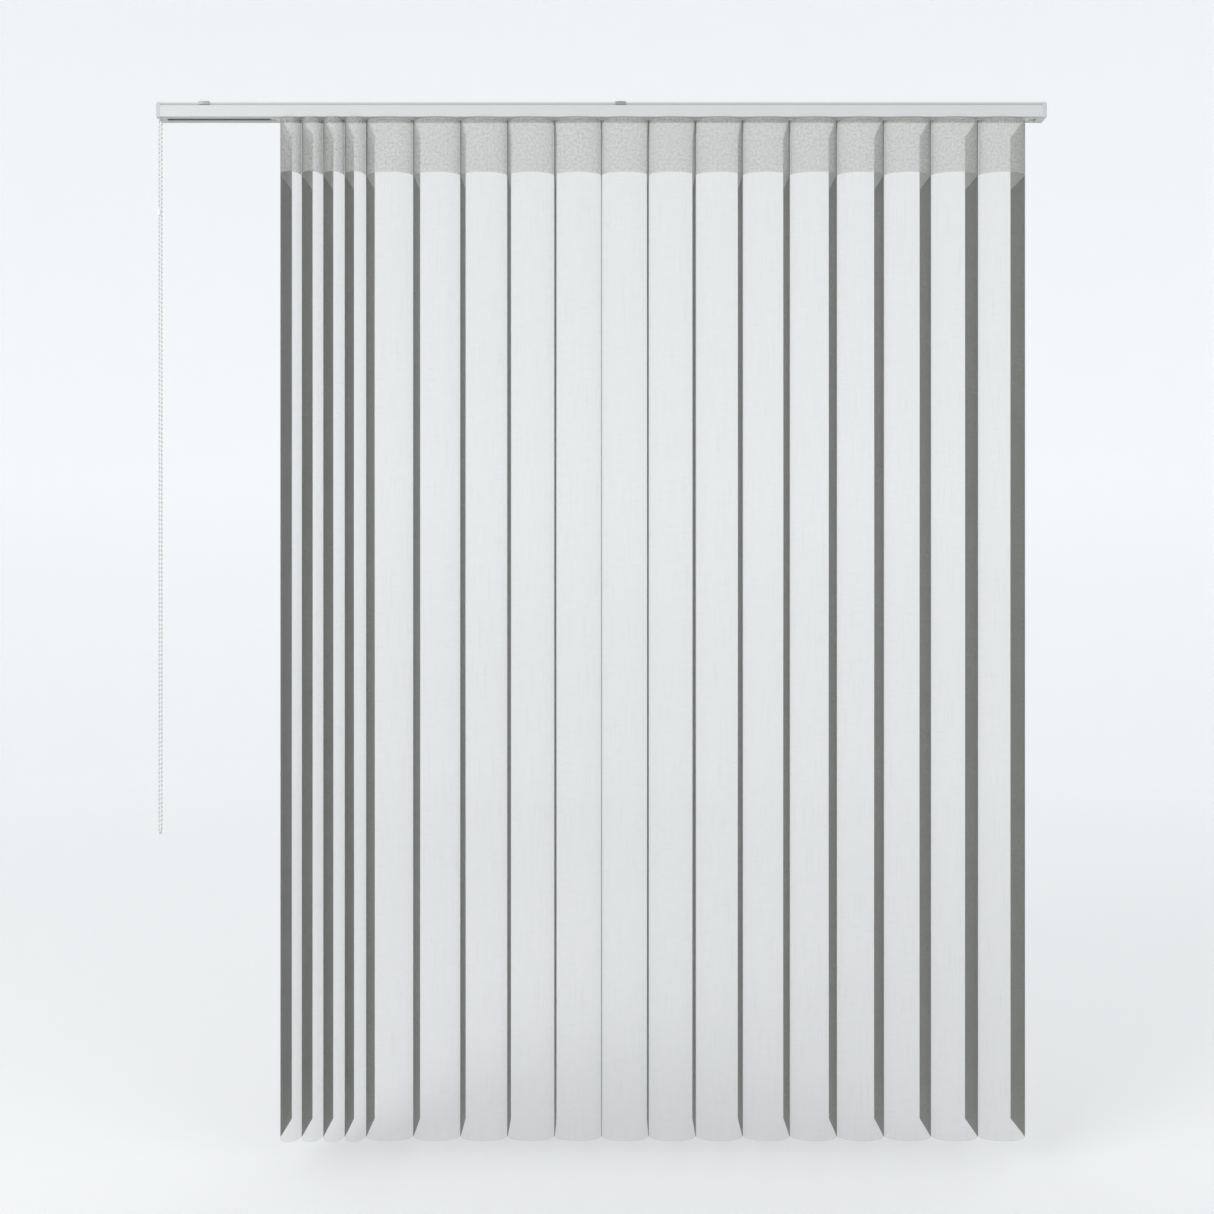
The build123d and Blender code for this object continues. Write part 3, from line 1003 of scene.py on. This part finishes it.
@dataclass
class TraverseCord:
    """The braided cord inside the headrail, which turns back on the idler pulley."""

    start_x: float = -729.0 * MM
    pulley_x: float = 735.2 * MM
    y: float = 4.6 * MM
    z: float = -18.5 * MM
    radius: float = 0.8 * MM

    def build(self) -> None:
        """Make the cord."""
        far, near = self.pulley_x + self.y, self.pulley_x - self.y
        there = [(x, -self.y, self.z) for x in (self.start_x, near, far)]
        back = [(x, self.y, self.z) for x in (far, near, self.start_x)]
        cord = tube("traverse_cord_braid", follow("traverse_route", there + back), self.radius, 3)
        place_piece(dress(cord, Finish.CORD), RAIL_BODY, ["traverse_cord"])


@dataclass
class BeadChain:
    """The endless control chain: moulded beads on a fine core, closed by a pale connector."""

    x: float = -739.4 * MM
    front_y: float = -12.471 * MM
    rear_y: float = 1.471 * MM
    high: float = -4.529 * MM
    exit_z: float = -25.0 * MM
    low: float = -1222.5 * MM
    bead: float = 2.0 * MM
    pitch: float = 7.3 * MM
    core: float = 0.6 * MM
    connector_z: float = -183.1 * MM
    connector_half: float = 5.5 * MM
    connector_radius: float = 3.2 * MM
    connector_wall: float = 0.9 * MM

    def controls(self) -> list[Point]:
        """The route over the sprocket, down at the front, round and up at the rear.

        Returns:
            The curve's control points.
        """
        middle = (self.front_y + self.rear_y) / 2
        turn = self.rear_y - self.front_y
        front = [(self.front_y, z) for z in (self.high, self.high - turn, self.low + turn, self.low)]
        rear = [(self.rear_y, z) for _, z in reversed(front)]
        loop = [(middle, self.high), *front, *rear, (middle, self.high)]
        return [(self.x, y, z) for y, z in loop]

    def walk(self, line: Sequence[Vector]) -> list[Vector]:
        """Places for the beads, evenly spaced and near the moulded pitch.

        Args:
            line: the chain's line.

        Returns:
            The beads' places.
        """
        runs = [(b - a).length for a, b in zip(line, line[1:])]
        count = round(sum(runs) / self.pitch)
        step = sum(runs) / count
        found: list[Vector] = []
        gone = 0.0
        for a, b, run in zip(line, line[1:], runs):
            while len(found) < count and (len(found) + 0.5) * step <= gone + run:
                found.append(a.lerp(b, ((len(found) + 0.5) * step - gone) / run))
            gone += run
        return found

    def bead_shape(self) -> bpy.types.Object:
        """One bead of a few dozen faces, with flats where the core leaves it.

        Returns:
            The bead, at the frame's origin.
        """
        drop_selection()
        bpy.ops.mesh.primitive_uv_sphere_add(segments=8, ring_count=6, radius=self.bead)
        bead = settle(bpy.context.object, "chain_bead")
        with editing():
            pick_faces(bead, lambda face: abs(face.center.z) > 0.8 * self.bead)
            bpy.ops.transform.resize(value=(1.0, 1.0, 0.93))
        number_by_place(bead)
        smooth(bead, 80.0)
        return bead

    def string(self, line: Sequence[Vector]) -> bpy.types.Object:
        """Thread the beads on their core.

        Args:
            line: the core's points.

        Returns:
            The chain, one mesh.
        """
        core = tube("hanging_chain", line, self.core, 1)
        pattern = self.bead_shape()
        beads = [copy_to(pattern, "chain_bead", tuple(at)) for at in self.walk(line)]
        bpy.data.objects.remove(pattern)
        return dress(join([core, *beads], "hanging_chain"), Finish.BEAD)

    def connector(self) -> bpy.types.Object:
        """The pale connector: a slim open barrel with a waist and drawn-in, rounded rims.

        Returns:
            The connector.
        """
        drop_selection()
        half, height = self.connector_half, self.connector_z
        at = (self.x, self.front_y, height)
        bpy.ops.mesh.primitive_cylinder_add(
            vertices=24,
            radius=self.connector_radius,
            depth=2 * half,
            location=at,
            end_fill_type="NOTHING",
        )
        shell = settle(bpy.context.object, "connector_clip")
        rims, waist, drawn_in = (0.95, 1.05), (-0.05, 0.4), 0.9
        with editing():
            for cut in (-0.92, -0.3, 0.3, 0.92):
                bpy.ops.mesh.select_all(action="SELECT")
                level = (self.x, self.front_y, height + cut * half)
                bpy.ops.mesh.bisect(plane_co=level, plane_no=(0.0, 0.0, 1.0))
            for near, far in (rims, waist):
                pick_edges(shell, lambda *ends: all(near < abs(end.z - height) / half < far for end in ends))
                bpy.ops.transform.resize(value=(drawn_in, drawn_in, 1.0), center_override=at)
        modify(shell, "SOLIDIFY", thickness=self.connector_wall, offset=-1.0)
        sharp = math.radians(50)
        modify(shell, "BEVEL", width=0.2 * MM, segments=2, limit_method="ANGLE", angle_limit=sharp)
        smooth(shell, 40.0)
        return dress(shell, Finish.CLIP)

    def build(self) -> None:
        """Make the chain and its connector."""
        line = follow("chain_route", self.controls())
        chain = place_piece(self.string(line), RAIL_BODY, ["bead_chain"])
        clip = place_piece(self.connector(), RAIL_BODY, ["chain_connector"])


# ---------------------------------------------------------------- cloth


@dataclass
class SheerCurtain:
    """One sheer cloth that bulges into a lobe between each two vanes and is sewn down at every vane."""

    layout: Layout
    gap: float = 0.3 * MM
    wide_bulge: float = 26.5 * MM
    packed_bulge: float = 31.0 * MM
    packed: int = 4
    band: float = 92.0 * MM
    band_inset: float = 0.5 * MM
    band_trim: float = 0.016
    top_ease: float = 0.78
    low_ease: float = 0.93
    ease_reach: float = 14.0
    sway_across: float = 0.35 * MM
    sway_out: float = 0.55 * MM
    sway_lag: float = 1.3
    sways: int = 3
    sway_turns: tuple[float, float] = (0.7, 1.6)
    sway_onset: float = 4.0
    set_forward: float = 0.4 * MM
    columns: int = 22
    rows: int = 44
    band_rows: int = 4
    seam_rows: int = 24
    seam_flat: float = 2.6 * MM
    seam_thick: float = 0.25 * MM
    packed_pitch: float = 36.0 * MM
    rng: random.Random = field(default_factory=lambda: random.Random(19))

    def bulge(self, number: int) -> float:
        """How far the lobe at a vane's right stands out before it is eased."""
        return self.packed_bulge if number <= self.packed else self.wide_bulge

    def lobe(self, number: int) -> bpy.types.Object:
        """Make the lobe to the right of one vane, and the header band behind its top.

        Args:
            number: the vane at the lobe's left.

        Returns:
            The lobe.
        """
        left = self.layout.xs[number - 1] + self.gap
        right = self.layout.xs[number] - self.gap
        middle, half = (left + right) / 2, (right - left) / 2
        bulge = self.bulge(number)
        draw = self.rng.uniform
        waves = [(draw(*self.sway_turns), draw(0, FULL_TURN), draw(-1, 1)) for _ in range(self.sways)]
        arc = self.arc_table(half, bulge)
        length = arc[-1][1]
        top, bottom = self.layout.top, self.layout.bottom

        def lay(across: float, up: float, inset: float) -> Point:
            """Where a point of the cloth hangs.

            Args:
                across: its share of the cloth's width.
                up: its share of the cloth's height.
                inset: how far it lies behind the cloth's face.

            Returns:
                The point.
            """
            angle = self.angle_at(arc, across * length)
            z = bottom + (top - bottom) * up
            fall = 1.0 - up
            near_top = max(0.0, 1.0 - fall * self.ease_reach) ** 2
            ease = self.low_ease + (self.top_ease - self.low_ease) * near_top
            lag = self.sway_lag * across
            sway = sum(
                size * math.sin(turns * math.pi * fall * 2 + phase + lag)
                for turns, phase, size in waves
            )
            soft = math.sin(math.pi * across) * min(1.0, fall * self.sway_onset) * sway
            x = middle - (half - inset) * math.cos(angle) + self.sway_across * soft
            y = -(bulge * ease - inset) * math.sin(angle) - self.set_forward + self.sway_out * soft
            return (x, y, z)

        def spread(across: float, up: float) -> tuple[float, float]:
            """Where the point lies on the flat cloth."""
            return (left + across * length, bottom + (top - bottom) * up)

        name = f"sheer_lobe_{number:02d}"
        cloth = woven_grid(name, self.columns, self.rows, lambda a, u: lay(a, u, 0.0), spread)
        dress(cloth, Finish.SHEER)
        share = 1.0 - self.band / (top - bottom)
        trim = self.band_trim

        def on_band(across: float, up: float) -> tuple[float, float]:
            """Shares of the whole cloth from shares of its band."""
            return (trim + (1 - 2 * trim) * across, share + (1 - share) * up)

        band = woven_grid(
            f"{name}_band",
            self.columns,
            self.band_rows,
            lambda a, u: lay(*on_band(a, u), self.band_inset),
            lambda a, u: spread(*on_band(a, u)),
        )
        dress(band, Finish.BAND)
        joined = join([cloth, band], name)
        take(joined)
        bpy.ops.object.shade_smooth()
        return joined

    @staticmethod
    def arc_table(half: float, bulge: float) -> list[tuple[float, float]]:
        """Angles along half an ellipse with the cloth's length up to each.

        Args:
            half: half the lobe's width.
            bulge: how far it stands out.

        Returns:
            Pairs of an angle and a length.
        """
        steps = 180
        table = [(0.0, 0.0)]
        for step in range(1, steps + 1):
            angle = math.pi * step / steps
            before = table[-1][0]
            dx = half * (math.cos(before) - math.cos(angle))
            dy = bulge * (math.sin(angle) - math.sin(before))
            table.append((angle, table[-1][1] + math.hypot(dx, dy)))
        return table

    @staticmethod
    def angle_at(table: Sequence[tuple[float, float]], along: float) -> float:
        """Find the angle at a length along the arc.

        Args:
            table: the arc's angles and lengths.
            along: the length.

        Returns:
            The angle.
        """
        for (a, la), (b, lb) in zip(table, table[1:]):
            if along <= lb:
                return a + (b - a) * (along - la) / (lb - la)
        return table[-1][0]

    def seam(self, number: int) -> bpy.types.Object:
        """The narrow folded seam that holds the cloth to one vane.

        Args:
            number: the vane's number.

        Returns:
            The seam.
        """
        x = self.layout.xs[number - 1]
        # The fold's outline from side to side, in millimetres from the vane's front edge.
        fold = [(-0.52, 0.05), (-0.5, -0.45), (-0.22, -0.7), (0.22, -0.7), (0.5, -0.45), (0.52, 0.05)]
        top, bottom = self.layout.top, self.layout.bottom

        def lay(across: float, up: float) -> Point:
            """Where a point of the seam lies.

            Args:
                across: its share of the way round the fold.
                up: its share of the seam's height.

            Returns:
                The point.
            """
            spot = across * (len(fold) - 1)
            first = min(int(spot), len(fold) - 2)
            part = spot - first
            a, b = fold[first], fold[first + 1]
            return (
                x + (a[0] + (b[0] - a[0]) * part) * MM,
                (a[1] + (b[1] - a[1]) * part) * MM,
                bottom + (top - bottom) * up,
            )

        def spread(across: float, up: float) -> tuple[float, float]:
            """Where the point lies on the flat strip."""
            return (across * self.seam_flat, bottom + (top - bottom) * up)

        strip = woven_grid(f"sheer_seam_{number:02d}", len(fold) - 1, self.seam_rows, lay, spread)
        modify(strip, "SOLIDIFY", thickness=self.seam_thick, offset=-1.0)
        smooth(strip, 50.0)
        return dress(strip, Finish.SEAM)

    def build(self) -> None:
        """Hang every lobe and seam."""
        xs = self.layout.xs
        for number in range(1, len(xs)):
            lobe = self.lobe(number)
            here, there = self.layout.carrier_body(number), self.layout.carrier_body(number + 1)
            pitch = xs[number] - xs[number - 1]
            if number > self.packed:
                place_piece(lobe, there, ["sheer_curtain"])
                keep = (self.packed_pitch - 2 * self.gap) / (pitch - 2 * self.gap)
                xs[number] - self.gap
                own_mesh(lobe)
            else:
                place_piece(lobe, None, ["sheer_curtain"])
                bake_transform(lobe)
            width = self.arc_table(pitch / 2 - self.gap, self.bulge(number) * self.low_ease)[-1][1]
        for number in range(1, len(xs) + 1):
            place_piece(self.seam(number), self.layout.carrier_body(number), ["sheer_curtain"])


@dataclass
class Vanes:
    """The cloth vanes, each with a stiff header in its top and a plastic hanger over it."""

    layout: Layout
    width: float = 89.0 * MM
    front: float = 0.7 * MM
    half_thick: float = 0.4 * MM
    head_half_thick: float = 0.6 * MM
    head: float = 92.0 * MM
    columns: int = 10
    rows: int = 40
    plate_low: float = -44.7 * MM
    plate_high: float = -25.4 * MM
    plate_front: float = 3.0 * MM
    plate_back: float = 88.0 * MM
    plate_thick: float = 0.8 * MM
    plate_corner: float = 4.0 * MM
    plate_rim: float = 1.6 * MM
    plate_sink: float = 0.3 * MM
    bar_half: float = 1.4 * MM
    bar_low: float = -26.4 * MM
    bar_back: float = 44.5 * MM
    rib_first: float = 14.0 * MM
    rib_pitch: float = 16.0 * MM
    rib_width: float = 1.2 * MM
    rib_low: float = -41.5 * MM
    rib_high: float = -27.4 * MM
    ribs: int = 5
    stem: float = 2.5 * MM
    stem_top: float = -6.9 * MM
    curl: float = 0.35
    ripple: float = 0.15
    ripple_turns: tuple[float, float] = (0.6, 1.3)
    ripple_onset: float = 3.0
    head_edge: float = 0.0009
    rng: random.Random = field(default_factory=lambda: random.Random(89))

    def cloth(self, number: int) -> bpy.types.Object:
        """Make one vane: a stiff woven strip, thicker where the header band is welded in.

        Args:
            number: the vane's number.

        Returns:
            The vane's cloth.
        """
        x = self.layout.xs[number - 1]
        top, bottom = self.layout.top, self.layout.bottom
        height = top - bottom
        draw = self.rng.uniform
        turns, phase, lean = draw(*self.ripple_turns), draw(0, FULL_TURN), draw(-1, 1)
        share = 1.0 - self.head / height
        lines = sorted({*(k / self.rows for k in range(self.rows + 1)), share - self.head_edge, share})

        def lay(across: float, up: float) -> Point:
            """Where a point of the vane hangs.

            Args:
                across: its share of the vane's width.
                up: its share of the rows, which crowd at the header's lower edge.

            Returns:
                The point.
            """
            up = lines[round(up * (len(lines) - 1))]
            fall = min(1.0, (1.0 - up) * self.ripple_onset)
            curl = math.sin(math.pi * across)
            ripple = math.sin(turns * FULL_TURN * up + phase)
            bend = (self.curl * curl * lean + self.ripple * ripple * across) * fall
            return (x + bend * MM, self.front + across * self.width, bottom + height * up)

        def spread(across: float, up: float) -> tuple[float, float]:
            """Where the point lies on the flat cloth."""
            return (across * self.width, height * lines[round(up * (len(lines) - 1))])

        name = f"vane_cloth_{number:02d}"
        sheet = woven_grid(name, self.columns, len(lines) - 1, lay, spread)
        sheet.data.materials.append(Finish.VANE.material())
        sheet.data.materials.append(Finish.VANE_HEAD.material())
        edge = bottom + height * share
        thick = sheet.vertex_groups.new(name="thick")
        for vertex in sheet.data.vertices:
            thick.add([vertex.index], 1.0 if vertex.co.z > edge - 0.1 * MM else 0.0, "REPLACE")
        for face in sheet.data.polygons:
            face.material_index = 1 if face.center.z > edge else 0
        modify(
            sheet,
            "SOLIDIFY",
            thickness=2 * self.head_half_thick,
            offset=0.0,
            vertex_group="thick",
            thickness_vertex_group=self.half_thick / self.head_half_thick,
        )
        sheet.vertex_groups.clear()
        smooth(sheet, 40.0)
        return sheet

    @property
    def plate_face(self) -> float:
        """How far the hanger's outer face stands from the vane's middle."""
        return self.head_half_thick + self.plate_thick

    def plate(self) -> bpy.types.Object:
        """Make the plate beside the header, with round lower corners and a sunk field inside its rim.

        Returns:
            The plate.
        """
        low = (self.head_half_thick, self.plate_front, self.plate_low)
        plate = block("hanger_plate", low, (self.plate_face, self.plate_back, self.plate_high))
        foot = self.plate_low + 1 * MM
        with editing():
            pick_edges(plate, lambda a, b: a.z < foot and abs(a.x - b.x) > self.plate_thick / 2)
            bpy.ops.mesh.bevel(offset=self.plate_corner, segments=5, affect="EDGES")
            pick_faces(plate, lambda face: face.normal.x > 0.9)
            bpy.ops.mesh.inset(thickness=self.plate_rim, depth=0.0)
            bpy.ops.mesh.inset(thickness=self.plate_sink, depth=-self.plate_sink)
        return plate

    def bar(self) -> bpy.types.Object:
        """Make the bar over the cloth, with its long upper edges softened.

        Returns:
            The bar.
        """
        low = (-self.bar_half, -self.stem * 0.2, self.bar_low)
        bar = block("hanger_bar", low, (self.bar_half, self.bar_back, self.plate_high))
        middle = (self.bar_low + self.plate_high) / 2
        with editing():
            pick_edges(bar, lambda a, b: abs(a.y - b.y) > self.bar_back / 2 and a.z > middle)
            bpy.ops.mesh.bevel(offset=0.3 * MM, segments=2, affect="EDGES")
        return bar

    def stem_with_head(self) -> bpy.types.Object:
        """Make the stem and the flat head that it hangs by.

        Returns:
            The stem.
        """
        stem = drum("hanger_stem", (0.0, 0.0, self.bar_low), self.stem, self.stem_top - self.bar_low, 24)
        with editing():
            pick_faces(stem, lambda face: face.normal.z > 0.9)
            for rise, wider in ((0.02 * MM, 1.36), (0.7 * MM, 1.0), (0.28 * MM, 0.86)):
                lift(rise)
                bpy.ops.transform.resize(value=(wider, wider, 1.0))
        number_by_place(stem)
        return stem

    def rib(self) -> bpy.types.Object:
        """Make the first rib on the plate, with its outer edges softened.

        Returns:
            The rib.
        """
        low = (self.plate_face - self.plate_thick / 2, self.rib_first, self.rib_low)
        rib = block("hanger_rib", low, (self.plate_face, self.rib_first + self.rib_width, self.rib_high))
        middle = self.plate_face - self.plate_thick / 4
        with editing():
            pick_edges(rib, lambda a, b: min(a.x, b.x) > middle)
            bpy.ops.mesh.bevel(offset=0.15 * MM, segments=2, affect="EDGES")
        return rib

    def hanger(self) -> bpy.types.Object:
        """Make the hanger for a vane at x = 0: a ribbed plate, a bar over the cloth, a stem and its head.

        Returns:
            The hanger.
        """
        holder = [self.plate(), self.bar(), self.stem_with_head()]
        rib = self.rib()
        more = [copy_to(rib, "hanger_rib", (0.0, step * self.rib_pitch, 0.0)) for step in range(1, self.ribs)]
        whole = join([*holder, rib, *more], "vane_hanger")
        smooth(whole, 35.0)
        return dress(whole, Finish.HANGER)

    def build(self) -> None:
        """Hang every vane from its hanger."""
        pattern = self.hanger()
        for number, x in enumerate(self.layout.xs, start=1):
            body = f"vane_{number:02d}"
            hanger = copy_to(pattern, f"vane_hanger_{number:02d}", (x, 0.0, 0.0))
            place_piece(hanger, body, [body])
            cloth = place_piece(self.cloth(number), body, [body])
        bpy.data.objects.remove(pattern)


# ---------------------------------------------------------------- hardware


@dataclass
class Hardware:
    """The headrail, its end caps and clips and what runs inside it, in their real finishes."""

    plain: dict[str, Finish] = field(
        default_factory=lambda: {
            "headrail": Finish.COAT,
            "control_end_cap": Finish.CAP,
            "idler_end_cap": Finish.CAP,
            "mounting_bracket_left": Finish.SPRING,
            "mounting_bracket_middle": Finish.SPRING,
            "tilt_rod": Finish.ROD,
            "chain_sprocket": Finish.CARRIER,
            "idler_pulley": Finish.CARRIER,
            "idler_pin": Finish.SPRING,
        }
    )

    def build(self) -> None:
        """Dress the frame's own nodes."""
        for name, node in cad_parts.items():
            finish = Finish.CARRIER if name.startswith("carrier_") else self.plain.get(name)
            if finish is not None:
                dress(node, finish)
                log.info("%s in %s", name, finish.value.name)


def main() -> None:
    """Build the blind around its frame."""
    logging.basicConfig(level=logging.INFO, format="%(message)s")
    Studio().build()
    BeadChain().build()
    TraverseCord().build()
    layout = Layout.read()
    Hardware().build()
    SheerCurtain(layout).build()
    Vanes(layout).build()
    drop_selection()
    bpy.context.view_layer.update()


if __name__ == "__main__":
    main()
